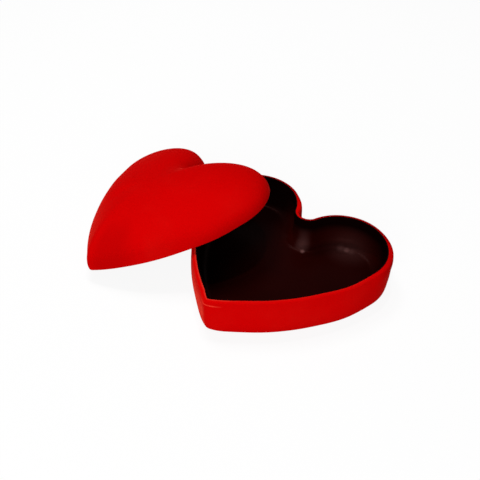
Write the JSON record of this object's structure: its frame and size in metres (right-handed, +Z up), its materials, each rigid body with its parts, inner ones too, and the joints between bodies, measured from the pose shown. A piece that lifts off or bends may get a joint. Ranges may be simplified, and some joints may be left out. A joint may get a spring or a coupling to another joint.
{
  "type": "heart gift box",
  "caption": "Heart-shaped velvet gift box with a lift-off domed lid, shown leaning on the open base, and a dark coved lining.",
  "frame": {"origin": "on the felt underside of the base, on the heart's line of symmetry, at the middle of the heart's length", "axes": "+Z up out of the open base, +Y along the heart's line of symmetry from its tip to its cleft, +X to the right seen from the tip"},
  "size_m": [0.1749, 0.1133, 0.0455],
  "materials": {
    "red_velvet": "short-pile velvet",
    "dark_lining": "satin, dark maroon-brown",
    "dark_card": "satin, dark maroon-brown",
    "moulded_board": "raw pressed board",
    "wadding": "soft fibre",
    "dark_felt": "dense felt"
  },
  "bodies": {
    "base": {"base_felt_pad": "dark_felt", "base_tray": "moulded_board", "base_velvet": "red_velvet", "base_lining": "dark_lining"},
    "lid": {"lid_shell": "moulded_board", "lid_wadding": "wadding", "lid_velvet": "red_velvet", "lid_lining": "dark_lining", "lid_collar": "dark_card"}
  },
  "joints": [
    {"name": "lid_lift", "type": "slide", "parent": "base", "child": "lid", "axis": [0, 0, 1], "range_m": [0, 0.07]}
  ]
}
